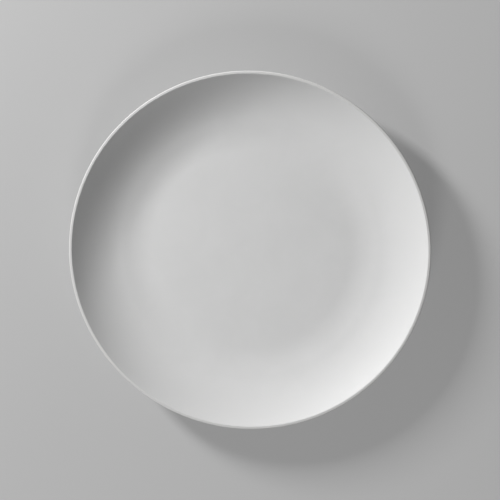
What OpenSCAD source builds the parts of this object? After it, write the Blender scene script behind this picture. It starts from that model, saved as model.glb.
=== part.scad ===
// Coupe dinner plate: a rimless plate of fired clay in a coat of white glaze.
// It stands on the bare clay of its foot ring, at z = 0, with its axis on Z.
// Each outline is drawn in the half plane right of the axis and turned about it.

/* [Plate] */
// Diameter over the lip
plate_d = 270; // [240:1:320]
// Height from the table to the top of the lip
plate_h = 27; // [23:0.5:33]

/* [Well and wall] */
// Diameter of the flat in the middle of the eating face
well_d = 151; // [130:1:172]
// Radius of the soft bend at the edge of the well
knee_r = 100; // [40:1:120]
// Turn of the soft bend, in degrees
knee_angle = 10.8; // [5:0.1:14]
// Where the lines of the shoulder and the wall would cross, as a share of the way
// from the soft bend to the lip
bend_share = 0.58; // [0.45:0.01:0.68]
// How much of the shorter of these two lines the wall's round takes up, as a share
round_share = 0.92; // [0.5:0.01:0.98]
// How far outside the edge of the well the back starts to rise
back_lag = 1; // [0.5:0.5:6]
// Thickness of the base inside the foot ring, with its glaze
base_t = 4.8; // [3.8:0.1:6]
// Thickness of the wall at the lip, with its glaze
lip_t = 3.6; // [2.8:0.1:4.6]

/* [Lip] */
// Width of the lip's level top, before its edges are rounded
lip_w = 2; // [1.5:0.1:2.8]
// Radius of the lip's inner edge
lip_inner_r = 0.8; // [0.5:0.1:1.2]
// Radius of the lip's outer edge
lip_outer_r = 0.6; // [0.5:0.1:1]
// Radius under the lip, where its outer side turns into the back
lip_under_r = 1.5; // [0.6:0.1:2]

/* [Foot ring] */
// Outer diameter of the foot ring where it meets the table
foot_d = 160; // [130:1:184]
// Width of the foot ring where it meets the table, before its edges are rounded
foot_w = 5; // [4:0.1:8]
// Height of the glazed base over the table, inside the foot ring
foot_h = 3.5; // [3.1:0.1:4.5]
// Lean of the foot ring's sides, in degrees
foot_draft = 12; // [5:1:20]
// Radius on the two edges that stand on the table
foot_edge_r = 1.2; // [0.6:0.1:1.4]
// Radius of the hollow corner outside the foot ring, where the ring's height lets it
outer_root_r = 2.2; // [1.2:0.1:2.4]
// Radius of the hollow corner inside the foot ring, where the ring's height lets it
inner_root_r = 1.8; // [1.2:0.1:2]

/* [Glaze] */
// Thickness of the fired glaze
glaze_t = 0.3; // [0.2:0.05:0.4]
// Height of the bare clay left round the foot ring's outer side
outer_bare_h = 1.7; // [1.4:0.1:2]
// Height of the bare clay left round the foot ring's inner side
inner_bare_h = 1.4; // [1.3:0.1:1.6]

/* [Hidden] */
$fn = 180;

// Steps along each round stretch of an outline
knee_steps = 8;
wall_steps = 24;
lip_steps = 7;
root_steps = 8;
edge_steps = 6;
bead_steps = 6;

// Eating face: flat, then the soft bend, then a straight shoulder, then the wall's round
// and a straight line up to the lip
lip_top = [plate_d / 2 - lip_w, plate_h];
face_z = foot_h + base_t;
knee_c = [well_d / 2, face_z + knee_r];
knee_up = [cos(knee_angle), sin(knee_angle)];
knee_end = knee_c + knee_r * [sin(knee_angle), -cos(knee_angle)];
shoulder_run = bend_share * (lip_top.x - knee_end.x) / knee_up.x;
face_bend = knee_end + shoulder_run * knee_up;
bend_to_lip = lip_top - face_bend;
wall_slope = atan2(bend_to_lip.y, bend_to_lip.x);
wall_run = norm(bend_to_lip) - lip_inner_r * tan(wall_slope / 2);
face_reach = round_share * min(shoulder_run, wall_run);
face_r = face_reach / tan((wall_slope - knee_angle) / 2);
face_c = face_bend - face_reach * knee_up + face_r * [-sin(knee_angle), cos(knee_angle)];

// Foot ring: its sides lean apart as they rise from the table
foot_outer_r = foot_d / 2;
foot_inner_r = foot_outer_r - foot_w;
edge_inset = foot_edge_r * (1 - sin(foot_draft)) / cos(foot_draft);

// Back: straight and in line with the face below the lip, then an arc down to the base level
back_bend_x = face_bend.x - (face_bend.y - foot_h) / tan(wall_slope) + lip_t / sin(wall_slope);
lip_foot = [plate_d / 2, foot_h + (plate_d / 2 - back_bend_x) * tan(wall_slope)];
back_run = norm(lip_foot - [back_bend_x, foot_h]) - lip_under_r * tan((90 - wall_slope) / 2);
back_reach = min(back_bend_x - well_d / 2 - back_lag, back_run);
back_r = back_reach / tan(wall_slope / 2);
back_c = [back_bend_x - back_reach, foot_h + back_r];

// Lip: a level top and an upright outer side, with its three edges rounded
lip_inner_c = edge_centre(lip_top, wall_slope + 90, 90, lip_inner_r);
lip_outer_c = edge_centre([plate_d / 2, plate_h], 90, 0, lip_outer_r);
lip_under_c = edge_centre(lip_foot, 0, wall_slope - 90, lip_under_r);

// The same round stretches on the bare clay, a glaze's thickness further in
clay_knee_r = knee_r + glaze_t;
clay_face_r = face_r + glaze_t;
clay_back_r = back_r - glaze_t;
clay_base_z = foot_h + glaze_t;

// Outward and upward directions of the foot ring's outer side, and of its inner side
outer_normal = [cos(foot_draft), -sin(foot_draft)];
outer_up = [sin(foot_draft), cos(foot_draft)];
inner_normal = [-cos(foot_draft), -sin(foot_draft)];
inner_up = [-sin(foot_draft), cos(foot_draft)];

// Hollow corner outside the foot ring: its circle touches the ring's side and the back,
// on the arc or on the level stretch before it, and leaves the side straight at the coat's end
outer_side_h = back_c.y - sqrt(clay_back_r ^ 2 - max(foot_outer_r - back_c.x, 0) ^ 2);
outer_root_room = (outer_side_h - outer_bare_h - glaze_t) / (1 - sin(foot_draft));
outer_r = min(outer_root_r, outer_root_room);
level_root_z = clay_base_z - outer_r;
level_root_x = foot_outer_r + level_root_z * tan(foot_draft) + outer_r / cos(foot_draft);
outer_on_level = level_root_x < back_c.x;
outer_root_from = [foot_outer_r, 0] + outer_r * outer_normal - back_c;
outer_root_along = outer_root_from * outer_up;
outer_root_reach = (clay_back_r + outer_r) ^ 2 - outer_root_from * outer_root_from;
outer_root_rise = -outer_root_along - sqrt(outer_root_along ^ 2 + outer_root_reach);
wall_root_c = back_c + outer_root_from + outer_root_rise * outer_up;
outer_root_c = outer_on_level ? [level_root_x, level_root_z] : wall_root_c;
outer_root_angle = outer_on_level ? -90 : atan2(wall_root_c.y - back_c.y, wall_root_c.x - back_c.x);

// Hollow corner inside the foot ring
inner_root_room = (clay_base_z - inner_bare_h - glaze_t) / (1 - sin(foot_draft));
inner_r = min(inner_root_r, inner_root_room);
inner_root_z = clay_base_z - inner_r;
inner_root_x = foot_inner_r - inner_root_z * tan(foot_draft) - inner_r / cos(foot_draft);
inner_root_c = [inner_root_x, inner_root_z];

// Points along an arc, both ends included
function arc(centre, r, from, to, steps) = [
    for (i = [0:steps])
        let (angle = from + (to - from) * i / steps)
        centre + r * [cos(angle), sin(angle)]
];

// Point on a side of the foot ring, at a height and moved out from the clay
function on_side(foot_r, up, normal, z, out) = [foot_r, 0] + z / up.y * up + out * normal;

// Centre of the round on an edge between two sides whose outward directions are given
function edge_centre(edge, from, to, r) =
    let (from_side = [cos(from), sin(from)], to_side = [cos(to), sin(to)])
    edge - r * (from_side + to_side) / (1 + from_side * to_side);

// Round over an edge of the lip, moved out from the clay
function lip_edge(centre, r, from, to, out) =
    arc(centre, r - glaze_t + out, from, to, lip_steps);

function reversed(points) = [for (i = [len(points) - 1:-1:0]) points[i]];

// Outline from the middle of the face, over the lip and down the back to the foot ring,
// moved out from the clay
function face_and_back(out) = concat(
    [[0, face_z - glaze_t + out]],
    arc(knee_c, clay_knee_r - out, -90, knee_angle - 90, knee_steps),
    arc(face_c, clay_face_r - out, knee_angle - 90, wall_slope - 90, wall_steps),
    lip_edge(lip_inner_c, lip_inner_r, wall_slope + 90, 90, out),
    lip_edge(lip_outer_c, lip_outer_r, 90, 0, out),
    lip_edge(lip_under_c, lip_under_r, 0, wall_slope - 90, out),
    arc(back_c, clay_back_r + out, wall_slope - 90, outer_root_angle, wall_steps),
    arc(outer_root_c, outer_r - out, outer_root_angle + 180, 180 - foot_draft, root_steps)
);

// Outline of the base inside the foot ring, from the foot ring in to the axis
function foot_well(out) = concat(
    arc(inner_root_c, inner_r - out, foot_draft, 90, root_steps),
    [[0, clay_base_z - out]]
);

// Rounded end of a coat, from the end of its skin to the clay
function bead(skin_end, normal, turn) =
    let (angle = atan2(normal.y, normal.x))
    arc(skin_end - normal * glaze_t / 2, glaze_t / 2, angle, angle + turn, bead_steps);

// Bare part of the foot ring, which stands on the table
foot_tread = concat(
    arc([foot_outer_r - edge_inset, foot_edge_r], foot_edge_r, -foot_draft, -90, edge_steps),
    arc([foot_inner_r + edge_inset, foot_edge_r], foot_edge_r, -90, foot_draft - 180, edge_steps)
);

// Where each coat ends above the bare clay
outer_coat_end = on_side(foot_outer_r, outer_up, outer_normal, outer_bare_h, glaze_t);
inner_coat_end = on_side(foot_inner_r, inner_up, inner_normal, inner_bare_h, glaze_t);

// Fired clay: base, wall, lip and foot ring, pressed and fired as one piece
module clay_body() {
    color([0.83, 0.79, 0.72])
        rotate_extrude()
            polygon(concat(face_and_back(0), foot_tread, foot_well(0)));
}

// Coat over the eating face, the lip and the back, down to the bare foot
module glaze_coat() {
    color([0.90, 0.90, 0.89])
        rotate_extrude()
            polygon(concat(
                face_and_back(glaze_t),
                bead(outer_coat_end, outer_normal, -180),
                reversed(face_and_back(0))
            ));
}

// Coat on the base inside the foot ring
module foot_well_glaze() {
    color([0.88, 0.88, 0.87])
        rotate_extrude()
            polygon(concat(
                reversed(foot_well(glaze_t)),
                bead(inner_coat_end, inner_normal, 180),
                foot_well(0)
            ));
}

clay_body();
glaze_coat();
foot_well_glaze();
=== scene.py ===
import math

import bpy
from mathutils import Matrix, Vector


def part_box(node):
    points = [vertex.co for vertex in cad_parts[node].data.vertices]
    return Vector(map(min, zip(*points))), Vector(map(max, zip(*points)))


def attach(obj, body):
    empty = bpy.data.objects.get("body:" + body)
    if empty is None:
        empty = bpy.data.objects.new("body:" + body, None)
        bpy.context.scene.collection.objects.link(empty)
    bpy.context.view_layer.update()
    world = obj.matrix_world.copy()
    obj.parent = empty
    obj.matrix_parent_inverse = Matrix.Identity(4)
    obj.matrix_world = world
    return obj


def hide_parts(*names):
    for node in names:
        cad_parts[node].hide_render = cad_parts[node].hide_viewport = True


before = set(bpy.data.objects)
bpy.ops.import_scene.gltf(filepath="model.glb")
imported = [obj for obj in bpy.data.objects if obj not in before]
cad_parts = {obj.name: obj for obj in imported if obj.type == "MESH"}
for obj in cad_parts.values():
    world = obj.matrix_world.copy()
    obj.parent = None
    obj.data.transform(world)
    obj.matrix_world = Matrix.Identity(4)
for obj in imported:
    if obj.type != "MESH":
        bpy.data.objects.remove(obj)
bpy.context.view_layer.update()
mm = 0.001  # everything below is in metres
quarterTurn = math.pi / 2
halfTurn = math.pi
fullTurn = 2 * math.pi
print("frame loaded:", ", ".join(sorted(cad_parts)))


# the plate's outlines, drawn in the XZ plane right of the axis

plate = {
    "radius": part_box("glaze_coat")[1].x,
    "height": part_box("glaze_coat")[1].z,
    "wellRadius": 75.5 * mm,
    "kneeRadius": 100 * mm,            # soft bend at the edge of the well
    "kneeAngle": math.radians(10.8),
    "bendShare": 0.58,                 # where the lines of shoulder and wall cross, from knee to lip
    "roundShare": 0.92,                # how much of the shorter line the wall's round takes up
    "backLag": 1 * mm,                 # the back starts to rise this far outside the well's edge
    "baseThickness": 4.8 * mm,
    "lipThickness": 3.6 * mm,
    "glazeThickness": 0.3 * mm,
}

lip = {
    "width": 2.0 * mm,                 # level top
    "innerRadius": 0.8 * mm,
    "outerRadius": 0.6 * mm,
    "underRadius": 1.5 * mm,
}

foot = {
    "radius": 80 * mm,                 # outer side, at the table
    "width": 5 * mm,
    "height": 3.5 * mm,                # up to the glazed base
    "draft": math.radians(12),
    "edgeRadius": 1.2 * mm,
    "outerRoot": 2.2 * mm,             # hollow corner against the wall
    "innerRoot": 1.8 * mm,             # hollow corner against the base
    "outerBare": 1.7 * mm,             # clay left bare, up each side
    "innerBare": 1.4 * mm,
}


def heading(angle):
    # a direction in the XZ plane, its angle counted up from +X
    return Vector((math.cos(angle), 0, math.sin(angle)))


def arcPoints(centre, radius, start, end, count):
    # points along an arc, both ends included
    return [centre + radius * heading(start + (end - start) * i / count) for i in range(count + 1)]


def between(start, end, count):
    # evenly spaced points from start to end, both left out
    return [start.lerp(end, i / count) for i in range(1, count)]


def edgeCentre(edge, start, end, radius):
    # centre of the round on an edge, between sides that face along two headings
    facing = heading(start) + heading(end)
    return edge - radius * facing / (1 + heading(start).dot(heading(end)))


def solveFace():
    # eating face: knee, straight shoulder, the wall's round and a straight line up to the lip
    knee = plate["kneeAngle"]
    faceStart = Vector((plate["wellRadius"], 0, foot["height"] + plate["baseThickness"]))
    kneeCentre = faceStart + Vector((0, 0, plate["kneeRadius"]))
    kneeEnd = kneeCentre + plate["kneeRadius"] * heading(knee - quarterTurn)
    lipTop = Vector((plate["radius"] - lip["width"], 0, plate["height"]))
    shoulderRun = plate["bendShare"] * (lipTop.x - kneeEnd.x) / math.cos(knee)
    faceBend = kneeEnd + shoulderRun * heading(knee)
    toLip = lipTop - faceBend
    slope = math.atan2(toLip.z, toLip.x)
    wallRun = toLip.length - lip["innerRadius"] * math.tan(slope / 2)
    faceReach = plate["roundShare"] * min(shoulderRun, wallRun)
    faceRadius = faceReach / math.tan((slope - knee) / 2)
    return {
        "slope": slope,
        "faceStart": faceStart,
        "kneeCentre": kneeCentre,
        "faceBend": faceBend,
        "faceCentre": faceBend - faceReach * heading(knee) - faceRadius * heading(knee - quarterTurn),
        "faceRadius": faceRadius,
        "lipInner": edgeCentre(lipTop, slope + quarterTurn, quarterTurn, lip["innerRadius"]),
    }


def solveBack(slope, faceBend):
    # back: in line with the face below the lip, then an arc down to the base's level
    fallToBase = (faceBend.z - foot["height"]) / math.tan(slope)
    bendRadius = faceBend.x - fallToBase + plate["lipThickness"] / math.sin(slope)
    backBend = Vector((bendRadius, 0, foot["height"]))
    lipCorner = Vector((plate["radius"], 0, plate["height"]))
    lipFoot = backBend + (plate["radius"] - bendRadius) / math.cos(slope) * heading(slope)
    backRun = (lipFoot - backBend).length - lip["underRadius"] * math.tan((quarterTurn - slope) / 2)
    backReach = min(bendRadius - plate["wellRadius"] - plate["backLag"], backRun)
    backRadius = backReach / math.tan(slope / 2)
    return {
        "backCentre": backBend + Vector((-backReach, 0, backRadius)),
        "backRadius": backRadius,
        "lipOuter": edgeCentre(lipCorner, quarterTurn, 0, lip["outerRadius"]),
        "lipUnder": edgeCentre(lipFoot, 0, slope - quarterTurn, lip["underRadius"]),
    }


def solveRoots(backCentre, backRadius):
    # hollow corners of the clay: one from the foot ring to the back, one to the base inside it
    lean = foot["draft"]
    outward = Vector((math.cos(lean), 0, -math.sin(lean)))
    upward = Vector((math.sin(lean), 0, math.cos(lean)))
    clayBack = backRadius - plate["glazeThickness"]
    rootFrom = Vector((foot["radius"], 0, 0)) + foot["outerRoot"] * outward - backCentre
    along = rootFrom.dot(upward)
    reach = (clayBack + foot["outerRoot"]) ** 2 - rootFrom.length_squared
    rootCentre = backCentre + rootFrom + (-along - math.sqrt(along ** 2 + reach)) * upward
    innerZ = foot["height"] + plate["glazeThickness"] - foot["innerRoot"]
    innerX = foot["radius"] - foot["width"] - innerZ * math.tan(lean) - foot["innerRoot"] / math.cos(lean)
    return {
        "rootCentre": rootCentre,
        "rootAngle": math.atan2(rootCentre.z - backCentre.z, rootCentre.x - backCentre.x),
        "innerRootCentre": Vector((innerX, 0, innerZ)),
    }


shape = solveFace()
shape.update(solveBack(shape["slope"], shape["faceBend"]))
shape.update(solveRoots(shape["backCentre"], shape["backRadius"]))
print("wall slope below the lip: %.1f degrees" % math.degrees(shape["slope"]))


steps = {                              # how many each stretch of an outline takes
    "flat": 14,                        # the well, and the base inside the foot ring
    "knee": 20,
    "shoulder": 3,
    "wall": 36,                        # the wall's round, and the back's
    "belowLip": 4,                     # the straight line up to the lip
    "lipInner": 10,
    "lipTop": 6,
    "lipOuter": 12,
    "lipSide": 4,
    "lipUnder": 12,
    "backLine": 3,                     # the straight line down from the lip
    "root": 12,
    "coatEnd": 8,
    "treadEdge": 10,
    "tread": 8,
    "fewest": 3,
}


def stepsAlong(stretch, detail):
    return max(steps["fewest"], round(steps[stretch] * detail))


def faceAndBack(inset, detail):
    # from the middle of the face, over the lip and down to the foot, inset from the glaze's skin
    slope, knee = shape["slope"], plate["kneeAngle"]
    centre = Vector((0, 0, shape["faceStart"].z - inset))
    edge = shape["faceStart"] - Vector((0, 0, inset))
    bend = arcPoints(shape["kneeCentre"], plate["kneeRadius"] + inset, -quarterTurn,
                     knee - quarterTurn, stepsAlong("knee", detail))
    wall = arcPoints(shape["faceCentre"], shape["faceRadius"] + inset, knee - quarterTurn,
                     slope - quarterTurn, stepsAlong("wall", detail))
    inner = arcPoints(shape["lipInner"], lip["innerRadius"] - inset, slope + quarterTurn,
                      quarterTurn, stepsAlong("lipInner", detail))
    outer = arcPoints(shape["lipOuter"], lip["outerRadius"] - inset, quarterTurn,
                      0, stepsAlong("lipOuter", detail))
    under = arcPoints(shape["lipUnder"], lip["underRadius"] - inset, 0,
                      slope - quarterTurn, stepsAlong("lipUnder", detail))
    back = arcPoints(shape["backCentre"], shape["backRadius"] - inset, slope - quarterTurn,
                     shape["rootAngle"], stepsAlong("wall", detail))
    rootRadius = foot["outerRoot"] - plate["glazeThickness"] + inset
    root = arcPoints(shape["rootCentre"], rootRadius, shape["rootAngle"] + halfTurn,
                     halfTurn - foot["draft"], stepsAlong("root", detail))
    return (
        [centre] + between(centre, edge, stepsAlong("flat", detail))
        + bend + between(bend[-1], wall[0], steps["shoulder"])
        + wall + between(wall[-1], inner[0], steps["belowLip"])
        + inner + between(inner[-1], outer[0], steps["lipTop"])
        + outer + between(outer[-1], under[0], steps["lipSide"])
        + under + between(under[-1], back[0], steps["backLine"])
        + back + root[1:]              # the root starts where the back ends
    )


def footWell(inset, detail):
    # from the foot ring in to the axis, inset from the glaze's skin
    rootRadius = foot["innerRoot"] - plate["glazeThickness"] + inset
    root = arcPoints(shape["innerRootCentre"], rootRadius, foot["draft"],
                     quarterTurn, stepsAlong("root", detail))
    centre = Vector((0, 0, foot["height"] + inset))
    return root + between(root[-1], centre, stepsAlong("flat", detail)) + [centre]


def coatEnd(side, bareHeight):
    # round end of a coat on the foot ring: side is 1 on the outer side and -1 on the inner
    normal = Vector((side * math.cos(foot["draft"]), 0, -math.sin(foot["draft"])))
    up = Vector((side * math.sin(foot["draft"]), 0, math.cos(foot["draft"])))
    sideFoot = foot["radius"] - (0 if side > 0 else foot["width"])
    onClay = Vector((sideFoot, 0, 0)) + bareHeight / up.z * up
    middle = onClay + normal * plate["glazeThickness"] / 2
    start = math.atan2(normal.z, normal.x)
    return arcPoints(middle, plate["glazeThickness"] / 2, start,
                     start - side * halfTurn, steps["coatEnd"])


def footTread():
    # bare clay under the foot ring, from its outer side to its inner side
    lean, edge = foot["draft"], foot["edgeRadius"]
    edgeInset = edge * (1 - math.sin(lean)) / math.cos(lean)
    outer = Vector((foot["radius"] - edgeInset, 0, edge))
    inner = Vector((foot["radius"] - foot["width"] + edgeInset, 0, edge))
    outerEdge = arcPoints(outer, edge, -lean, -quarterTurn, steps["treadEdge"])
    innerEdge = arcPoints(inner, edge, -quarterTurn, lean - halfTurn, steps["treadEdge"])
    return outerEdge + between(outerEdge[-1], innerEdge[0], steps["tread"]) + innerEdge


# turning an outline into a piece

turning = {"steps": 320, "mergeDistance": 0.002 * mm, "smoothAngle": math.radians(42)}


def deselectAll():
    if bpy.context.object and bpy.context.object.mode != "OBJECT":
        bpy.ops.object.mode_set(mode="OBJECT")
    bpy.ops.object.select_all(action="DESELECT")


def turnPiece(name, outline):
    # one vertex is drawn along the outline, and the line is spun about the plate's axis
    deselectAll()
    bpy.ops.mesh.primitive_plane_add(size=mm, location=(0, 0, 0))
    piece = bpy.context.object
    piece.name = name
    piece.data.name = name
    bpy.ops.object.mode_set(mode="EDIT")
    bpy.ops.mesh.merge(type="CENTER")
    bpy.ops.transform.translate(value=outline[0])
    for last, point in zip(outline, outline[1:]):
        bpy.ops.mesh.extrude_region_move(TRANSFORM_OT_translate={"value": point - last})
    bpy.ops.mesh.select_all(action="SELECT")
    bpy.ops.mesh.spin(steps=turning["steps"], angle=fullTurn, center=(0, 0, 0), axis=(0, 0, 1))
    bpy.ops.mesh.select_all(action="SELECT")
    bpy.ops.mesh.remove_doubles(threshold=turning["mergeDistance"])
    bpy.ops.mesh.select_all(action="SELECT")
    bpy.ops.mesh.normals_make_consistent(inside=False)
    bpy.ops.object.mode_set(mode="OBJECT")
    bpy.ops.object.shade_smooth_by_angle(angle=turning["smoothAngle"])
    print(name, "turned:", len(piece.data.vertices), "vertices,", len(piece.data.polygons), "faces")
    return piece


glaze = plate["glazeThickness"]
seen, hidden = 1, 0.5  # detail of the skin that shows, and of faces that meet under the glaze

clayOutline = faceAndBack(glaze, hidden) + footTread() + footWell(glaze, hidden)
clayBody = turnPiece("clayBody", clayOutline)

coatOutline = faceAndBack(0, seen) + coatEnd(1, foot["outerBare"]) + faceAndBack(glaze, hidden)[::-1]
glazeCoat = turnPiece("glazeCoat", coatOutline)

wellOutline = footWell(0, seen)[::-1] + coatEnd(-1, foot["innerBare"]) + footWell(glaze, hidden)
footWellGlaze = turnPiece("footWellGlaze", wellOutline)


# the wiped edge of each coat on the foot ring wanders a little

glazeLine = {"rise": 0.45 * mm, "patchSize": 9 * mm, "patchDepth": 1, "fadeHeight": 1.3 * mm}


def waverGlazeLine(piece, lineHeight):
    cloud = bpy.data.textures.new(piece.name + "Line", "CLOUDS")
    cloud.noise_scale = glazeLine["patchSize"]
    cloud.noise_depth = glazeLine["patchDepth"]
    group = piece.vertex_groups.new(name="line")
    for vertex in piece.data.vertices:
        above = (vertex.co.z - lineHeight) / glazeLine["fadeHeight"]
        if above < 1 and vertex.co.z < foot["height"]:
            group.add([vertex.index], 1 - max(above, 0), "REPLACE")
    deselectAll()
    bpy.context.view_layer.objects.active = piece
    piece.select_set(True)
    bpy.ops.object.modifier_add(type="DISPLACE")
    push = piece.modifiers[-1]
    push.texture = cloud
    push.texture_coords = "LOCAL"
    push.direction = "Z"
    push.mid_level = 0
    push.strength = glazeLine["rise"]
    push.vertex_group = group.name
    bpy.ops.object.modifier_apply(modifier=push.name)
    print(piece.name, "glaze line wavered")


waverGlazeLine(glazeCoat, foot["outerBare"])
waverGlazeLine(footWellGlaze, foot["innerBare"])

for piece, node, slot in (
    (clayBody, "clay_body", "bare_clay"),
    (glazeCoat, "glaze_coat", "white_glaze"),
    (footWellGlaze, "foot_well_glaze", "foot_well_glaze"),
):
    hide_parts(node)
    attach(piece, "root")


# shader groups: effects that several finishes share

def newGroup(name, inputs, outputs):
    group = bpy.data.node_groups.new(name, "ShaderNodeTree")
    for socketName, value in inputs:
        socket = group.interface.new_socket(socketName, in_out="INPUT", socket_type="NodeSocketFloat")
        socket.default_value = value
    for socketName in outputs:
        group.interface.new_socket(socketName, in_out="OUTPUT", socket_type="NodeSocketFloat")
    start = group.nodes.new("NodeGroupInput")
    end = group.nodes.new("NodeGroupOutput")
    return group, start, end


def addNode(tree, kind, values=None, **settings):
    node = tree.nodes.new(kind)
    for key, value in settings.items():
        setattr(node, key, value)
    for key, value in (values or {}).items():
        node.inputs[key].default_value = value
    return node


def wire(tree, source, output, target, socket):
    tree.links.new(source.outputs[output], target.inputs[socket])


def placeGroup(tree, group, values):
    return addNode(tree, "ShaderNodeGroup", values, node_tree=group)


def buildGlazeSurface():
    # fine orange peel over slow waves, a faint mottle and the patches where a satin glaze is duller
    group, start, end = newGroup(
        "glazeSurface",
        [("Peel Scale", 620.0), ("Wave Scale", 70.0), ("Peel Share", 0.3), ("Patch Scale", 30.0)],
        ["Height", "Mottle", "Dullness"],
    )
    place = addNode(group, "ShaderNodeTexCoord")
    peel = addNode(group, "ShaderNodeTexNoise", {"Detail": 2.0, "Roughness": 0.45})
    wave = addNode(group, "ShaderNodeTexNoise", {"Detail": 1.0, "Roughness": 0.4})
    mottle = addNode(group, "ShaderNodeTexNoise", {"Detail": 4.0, "Roughness": 0.62, "Distortion": 0.5})
    dull = addNode(group, "ShaderNodeTexNoise", {"Scale": 160.0, "Detail": 5.0, "Roughness": 0.7})
    mix = addNode(group, "ShaderNodeMix", data_type="FLOAT")
    for noise in (peel, wave, mottle, dull):
        wire(group, place, "Object", noise, "Vector")
    wire(group, start, "Peel Scale", peel, "Scale")
    wire(group, start, "Wave Scale", wave, "Scale")
    wire(group, start, "Patch Scale", mottle, "Scale")
    wire(group, start, "Peel Share", mix, "Factor")
    wire(group, wave, "Fac", mix, "A")
    wire(group, peel, "Fac", mix, "B")
    wire(group, mix, "Result", end, "Height")
    wire(group, mottle, "Fac", end, "Mottle")
    wire(group, dull, "Fac", end, "Dullness")
    return group


def buildFromAxis():
    # distance from the plate's axis, and a mask that rises from 0 to 1 between two distances
    group, start, end = newGroup("fromAxis", [("Start", 0.0), ("End", 0.1)], ["Distance", "Mask"])
    place = addNode(group, "ShaderNodeTexCoord")
    flat = addNode(group, "ShaderNodeVectorMath", {1: (1.0, 1.0, 0.0)}, operation="MULTIPLY")
    length = addNode(group, "ShaderNodeVectorMath", operation="LENGTH")
    ramp = addNode(group, "ShaderNodeMapRange", interpolation_type="SMOOTHSTEP")
    wire(group, place, "Object", flat, 0)
    wire(group, flat, "Vector", length, 0)
    wire(group, length, "Value", ramp, "Value")
    wire(group, start, "Start", ramp, "From Min")
    wire(group, start, "End", ramp, "From Max")
    wire(group, length, "Value", end, "Distance")
    wire(group, ramp, "Result", end, "Mask")
    return group


def buildTurningRings(fromAxis):
    # uneven rings round the axis, as a turning tool or a wet sponge leaves
    group, start, end = newGroup("turningRings", [("Rings Per Metre", 600.0), ("Detail", 3.0)], ["Rings"])
    reach = placeGroup(group, fromAxis, {})
    rings = addNode(group, "ShaderNodeTexNoise", {"Roughness": 0.6}, noise_dimensions="1D")
    wire(group, reach, "Distance", rings, "W")
    wire(group, start, "Rings Per Metre", rings, "Scale")
    wire(group, start, "Detail", rings, "Detail")
    wire(group, rings, "Fac", end, "Rings")
    return group


glazeSurface = buildGlazeSurface()
fromAxis = buildFromAxis()
turningRings = buildTurningRings(fromAxis)

noiseSpan = (0.3, 0.7)  # most of a noise texture's values lie in it


def newMaterial(name, colour, roughness, ior):
    material = bpy.data.materials.new(name)
    material.use_nodes = True
    tree = material.node_tree
    shader = tree.nodes["Principled BSDF"]
    shader.inputs["Base Color"].default_value = (*colour, 1)
    shader.inputs["Roughness"].default_value = roughness
    shader.inputs["IOR"].default_value = ior
    return material, tree, shader


def blendColours(tree, source, output, span, low, high):
    # colour that goes from low to high as the source goes over the span
    ramp = addNode(tree, "ShaderNodeMapRange", {"From Min": span[0], "From Max": span[1]})
    mix = addNode(tree, "ShaderNodeMix", data_type="RGBA")
    mix.inputs["A"].default_value = (*low, 1)
    mix.inputs["B"].default_value = (*high, 1)
    wire(tree, source, output, ramp, "Value")
    wire(tree, ramp, "Result", mix, "Factor")
    return mix


def layColour(tree, under, source, output, colour, strength):
    # a second colour over the first, where the source says
    amount = addNode(tree, "ShaderNodeMath", {1: strength}, operation="MULTIPLY")
    mix = addNode(tree, "ShaderNodeMix", data_type="RGBA")
    mix.inputs["B"].default_value = (*colour, 1)
    wire(tree, source, output, amount, 0)
    wire(tree, amount, "Value", mix, "Factor")
    wire(tree, under, "Result", mix, "A")
    return mix


def roughen(tree, shader, source, output, low, high):
    # roughness that goes from low to high over a noise's span
    ramp = addNode(tree, "ShaderNodeMapRange", {"From Min": noiseSpan[0], "From Max": noiseSpan[1]})
    ramp.inputs["To Min"].default_value = low
    ramp.inputs["To Max"].default_value = high
    wire(tree, source, output, ramp, "Value")
    wire(tree, ramp, "Result", shader, "Roughness")


def addBump(tree, shader, source, output, distance, under=None):
    bump = addNode(tree, "ShaderNodeBump", {"Strength": 1.0, "Distance": distance})
    wire(tree, source, output, bump, "Height")
    if under:
        wire(tree, under, "Normal", bump, "Normal")
    wire(tree, bump, "Normal", shader, "Normal")
    return bump


whiteGlaze = {
    "light": (0.812, 0.812, 0.810),
    "dark": (0.785, 0.785, 0.782),
    "high": (0.758, 0.758, 0.755),     # painted shade: the glaze is made a little darker high on the wall
    "paintedShadeShare": 0.9,
    "paintedShadeStart": 96 * mm,
    "paintedShadeEnd": 128 * mm,
    "thin": (0.748, 0.743, 0.732),     # the glaze is thinnest on the lip, where the clay shows through
    "thinShare": 0.7,
    "thinStart": plate["radius"] - lip["width"] - 0.4 * mm,
    "thinEnd": plate["radius"] - lip["width"] + 0.4 * mm,
    "smooth": 0.54,
    "dull": 0.62,
    "ior": 1.5,
    "relief": 0.02 * mm,
}


def makeWhiteGlaze(name, settings):
    material, tree, shader = newMaterial(name, settings["light"], settings["smooth"], settings["ior"])
    surface = placeGroup(tree, glazeSurface, {})
    wall = placeGroup(tree, fromAxis, {"Start": settings["paintedShadeStart"], "End": settings["paintedShadeEnd"]})
    rim = placeGroup(tree, fromAxis, {"Start": settings["thinStart"], "End": settings["thinEnd"]})
    tone = blendColours(tree, surface, "Mottle", noiseSpan, settings["dark"], settings["light"])
    # painted shade: the glaze colour is darkened high on the wall, up to the lip
    paintedShadeTone = layColour(tree, tone, wall, "Mask", settings["high"], settings["paintedShadeShare"])
    colour = layColour(tree, paintedShadeTone, rim, "Mask", settings["thin"], settings["thinShare"])
    wire(tree, colour, "Result", shader, "Base Color")
    roughen(tree, shader, surface, "Dullness", settings["smooth"], settings["dull"])
    addBump(tree, shader, surface, "Height", settings["relief"])
    return material


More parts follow.
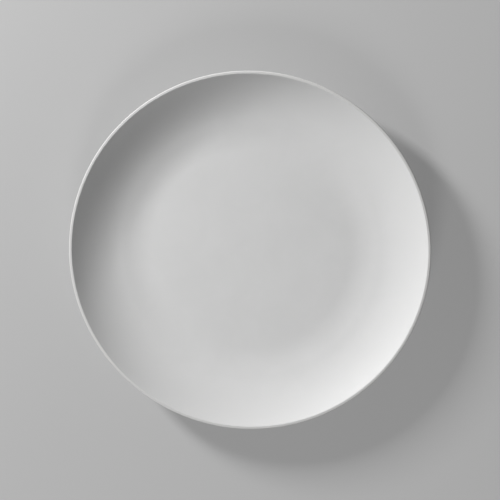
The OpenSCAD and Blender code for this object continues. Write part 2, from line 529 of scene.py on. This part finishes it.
footWellFinish = {
    "light": (0.800, 0.798, 0.786),
    "dark": (0.770, 0.766, 0.750),
    "waveScale": 95.0,
    "patchScale": 45.0,
    "pooled": (0.730, 0.735, 0.725),   # thicker glaze, in the corner against the foot ring
    "pooledShare": 0.6,
    "pooledStart": foot["radius"] - foot["width"] - 4.5 * mm,
    "pooledEnd": foot["radius"] - foot["width"] - 0.8 * mm,
    "smooth": 0.50,
    "dull": 0.62,
    "ior": 1.5,
    "relief": 0.03 * mm,
    "rings": 0.035 * mm,
    "ringsPerMetre": 240.0,
    "ringDetail": 2.0,
}


def makeFootWellGlaze(name, settings):
    material, tree, shader = newMaterial(name, settings["light"], settings["smooth"], settings["ior"])
    scales = {"Wave Scale": settings["waveScale"], "Patch Scale": settings["patchScale"]}
    surface = placeGroup(tree, glazeSurface, scales)
    corner = placeGroup(tree, fromAxis, {"Start": settings["pooledStart"], "End": settings["pooledEnd"]})
    turned = {"Rings Per Metre": settings["ringsPerMetre"], "Detail": settings["ringDetail"]}
    rings = placeGroup(tree, turningRings, turned)
    tone = blendColours(tree, surface, "Mottle", noiseSpan, settings["dark"], settings["light"])
    colour = layColour(tree, tone, corner, "Mask", settings["pooled"], settings["pooledShare"])
    wire(tree, colour, "Result", shader, "Base Color")
    roughen(tree, shader, surface, "Dullness", settings["smooth"], settings["dull"])
    peel = addBump(tree, shader, surface, "Height", settings["relief"])
    addBump(tree, shader, rings, "Rings", settings["rings"], peel)
    return material


bareClay = {
    "light": (0.74, 0.70, 0.63),
    "dark": (0.63, 0.585, 0.51),
    "toneSpan": (0.3, 0.65),
    "speck": (0.36, 0.30, 0.23),
    "speckShare": 0.75,
    "speckRadii": (0.10, 0.17),        # where a speck starts to fade and where it ends
    "stain": (0.56, 0.52, 0.46),       # grey of shelves and tables
    "stainShare": 0.35,
    "stainSpan": (0.45, 0.68),
    "roughness": 0.86,
    "ior": 1.45,
    "grain": 0.05 * mm,
    "rings": 0.06 * mm,
    "ringsPerMetre": 1500.0,
    "ringDetail": 3.0,
}

clayPatterns = {                       # each pattern's noise settings
    "tone": {"Scale": 220.0, "Detail": 6.0, "Roughness": 0.65},
    "grain": {"Scale": 1800.0, "Detail": 3.0, "Roughness": 0.7},
    "stain": {"Scale": 60.0, "Detail": 5.0, "Roughness": 0.7, "Distortion": 0.8},
    "speck": {"Scale": 520.0, "Randomness": 1.0},
}


def makeBareClay(name, settings, patterns):
    material, tree, shader = newMaterial(name, settings["light"], settings["roughness"], settings["ior"])
    place = addNode(tree, "ShaderNodeTexCoord")
    body = addNode(tree, "ShaderNodeTexNoise", patterns["tone"])
    grain = addNode(tree, "ShaderNodeTexNoise", patterns["grain"])
    scuff = addNode(tree, "ShaderNodeTexNoise", patterns["stain"])
    speck = addNode(tree, "ShaderNodeTexVoronoi", patterns["speck"])
    turned = {"Rings Per Metre": settings["ringsPerMetre"], "Detail": settings["ringDetail"]}
    rings = placeGroup(tree, turningRings, turned)
    for texture in (body, grain, scuff, speck):
        wire(tree, place, "Object", texture, "Vector")
    fadeStart, fadeEnd = settings["speckRadii"]
    dots = addNode(tree, "ShaderNodeMapRange", {"From Min": fadeStart, "From Max": fadeEnd})
    dots.inputs["To Min"].default_value = 1
    dots.inputs["To Max"].default_value = 0
    wire(tree, speck, "Distance", dots, "Value")
    wornStart, wornEnd = settings["stainSpan"]
    worn = addNode(tree, "ShaderNodeMapRange", {"From Min": wornStart, "From Max": wornEnd})
    wire(tree, scuff, "Fac", worn, "Value")
    tone = blendColours(tree, body, "Fac", settings["toneSpan"], settings["dark"], settings["light"])
    stained = layColour(tree, tone, worn, "Result", settings["stain"], settings["stainShare"])
    colour = layColour(tree, stained, dots, "Result", settings["speck"], settings["speckShare"])
    wire(tree, colour, "Result", shader, "Base Color")
    grainBump = addBump(tree, shader, grain, "Fac", settings["grain"])
    addBump(tree, shader, rings, "Rings", settings["rings"], grainBump)
    return material


glazeCoat.data.materials.append(makeWhiteGlaze("satinWhiteGlaze", whiteGlaze))
footWellGlaze.data.materials.append(makeFootWellGlaze("footWellWhiteGlaze", footWellFinish))
clayBody.data.materials.append(makeBareClay("bareClay", bareClay, clayPatterns))
print("finishes made")


# stage: a pale floor, a soft key lamp, two weak fills, and the photograph's camera

stage = {
    "floorSize": 6.0,
    "floorDrop": 0.02 * mm,
    "floorColour": (0.34, 0.34, 0.34),
    "floorRoughness": 0.9,
    "floorIor": 1.4,
    "floorGlow": 0.2,                  # keeps the floor pale where the lamps don't reach
    "plainWhite": (1.0, 1.0, 1.0),     # colour of that glow and of the world
    "worldLight": 0.015,
    "worldSeen": 0.7,                  # what the camera and the glaze see of it
}

deselectAll()
bpy.ops.mesh.primitive_plane_add(size=stage["floorSize"], location=(0, 0, -stage["floorDrop"]))
floor = bpy.context.object
floor.name = "floor"
floorMaterial, floorTree, floorShader = newMaterial(
    "paleFloor", stage["floorColour"], stage["floorRoughness"], stage["floorIor"]
)
floor.data.materials.append(floorMaterial)


def seenDirectly(tree):
    # 1 for what the camera, a mirror or glass sees, 0 for what only lights something
    rays = addNode(tree, "ShaderNodeLightPath")
    mirrored = addNode(tree, "ShaderNodeMath", operation="MAXIMUM")
    direct = addNode(tree, "ShaderNodeMath", operation="MAXIMUM")
    wire(tree, rays, "Is Glossy Ray", mirrored, 0)
    wire(tree, rays, "Is Transmission Ray", mirrored, 1)
    wire(tree, mirrored, "Value", direct, 0)
    wire(tree, rays, "Is Camera Ray", direct, 1)
    return direct


def brightenFloor():
    glow = addNode(floorTree, "ShaderNodeMath", {1: stage["floorGlow"]}, operation="MULTIPLY")
    floorShader.inputs["Emission Color"].default_value = (*stage["plainWhite"], 1)
    wire(floorTree, seenDirectly(floorTree), "Value", glow, 0)
    wire(floorTree, glow, "Value", floorShader, "Emission Strength")


def lightWorld():
    world = bpy.data.worlds.new("studio")
    bpy.context.scene.world = world
    world.use_nodes = True
    tree = world.node_tree
    background = tree.nodes["Background"]
    background.inputs["Color"].default_value = (*stage["plainWhite"], 1)
    strength = addNode(tree, "ShaderNodeMix", data_type="FLOAT")
    strength.inputs["A"].default_value = stage["worldLight"]
    strength.inputs["B"].default_value = stage["worldSeen"]
    wire(tree, seenDirectly(tree), "Value", strength, "Factor")
    wire(tree, strength, "Result", background, "Strength")


brightenFloor()
lightWorld()


def polar(azimuth, offAxis, distance):
    # a point by its direction from the origin, azimuth counted from +X towards +Y
    around, away = math.radians(azimuth), math.radians(offAxis)
    level = math.sin(away)
    return Vector((math.cos(around) * level, math.sin(around) * level, math.cos(away))) * distance


lamps = {
    "keyLamp": {"azimuth": 137.5, "offAxis": 64.5, "distance": 1.40, "size": (0.20, 0.34), "power": 22.5},
    "sideFill": {"azimuth": 264, "offAxis": 55, "distance": 1.30, "size": (0.40, 0.40), "power": 4.75},
    "lowFill": {"azimuth": 79, "offAxis": 80.5, "distance": 1.30, "size": (0.40, 0.10), "power": 1.4},
}


def addLamp(name, settings):
    place = polar(settings["azimuth"], settings["offAxis"], settings["distance"])
    turn = (Vector((0, 0, plate["height"] / 2)) - place).to_track_quat("-Z", "Y").to_euler()
    bpy.ops.object.light_add(type="AREA", location=place, rotation=turn)
    lamp = bpy.context.object
    lamp.name = name
    lamp.data.shape = "RECTANGLE"
    lamp.data.size, lamp.data.size_y = settings["size"]
    lamp.data.energy = settings["power"]
    lamp.visible_camera = False


for lampName, lampSettings in lamps.items():
    addLamp(lampName, lampSettings)

photoView = {
    "lens": 100.0,           # millimetres, as is the sensor
    "sensor": 36.0,
    "tilt": 9.444,           # degrees between the plate's axis and the line of sight
    "tiltTowards": 68.72,    # degrees from +X towards +Y
    "imageWidth": 500,       # pixels
    "plateWidth": 362.58,    # pixels across the lip, along the ellipse's long axis
    "moveRight": 1.00 * mm,  # from over the lip's middle, to the photograph's framing
    "moveUp": 2.57 * mm,
}


def placeCamera():
    seenWidth = 2 * plate["radius"] * photoView["imageWidth"] / photoView["plateWidth"]
    distance = seenWidth * photoView["lens"] / photoView["sensor"]
    target = Vector((0, 0, shape["lipOuter"].z))
    sight = polar(photoView["tiltTowards"], photoView["tilt"], 1)
    right = Vector((0, 1, 0)).cross(sight).normalized()
    up = sight.cross(right)
    turn = Matrix((right, up, sight)).transposed().to_euler()
    place = target + sight * distance + right * photoView["moveRight"] + up * photoView["moveUp"]
    bpy.ops.object.camera_add(location=place, rotation=turn)
    camera = bpy.context.object
    camera.data.lens = photoView["lens"]
    camera.data.sensor_width = photoView["sensor"]
    camera.data.sensor_fit = "HORIZONTAL"
    bpy.context.scene.camera = camera


placeCamera()
bpy.context.scene.view_settings.view_transform = "Standard"
print("stage and camera placed")

bpy.context.view_layer.update()
